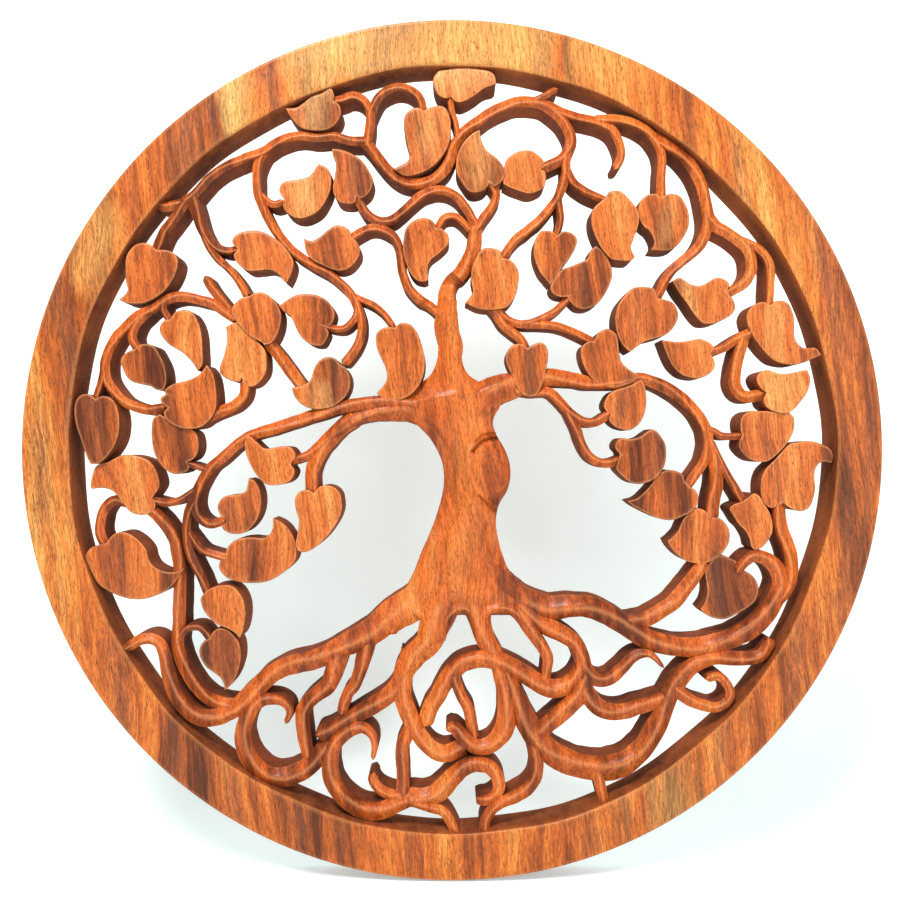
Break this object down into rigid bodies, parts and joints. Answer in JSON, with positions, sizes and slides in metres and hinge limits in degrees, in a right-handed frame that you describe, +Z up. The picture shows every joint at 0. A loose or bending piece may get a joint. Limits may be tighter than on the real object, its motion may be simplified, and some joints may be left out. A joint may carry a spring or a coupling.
{
  "type": "carved wall panel",
  "caption": "Round openwork wall panel carved from one slab of wood, with a plain ring around a tree with curling leaves, boughs and roots.",
  "frame": {"origin": "on the flat back of the ring, at its top, in the middle of the ring's width", "axes": "+Z up, +X to the viewer's right as it hangs, +Y out of the flat back into the wall, so the carving faces -Y"},
  "size_m": [0.6, 0.028, 0.6],
  "materials": {
    "oiled_wood": "oiled and polished hardwood with dark streaks, satin"
  },
  "bodies": {
    "root": {"carved_panel": "oiled_wood"}
  },
  "joints": []
}
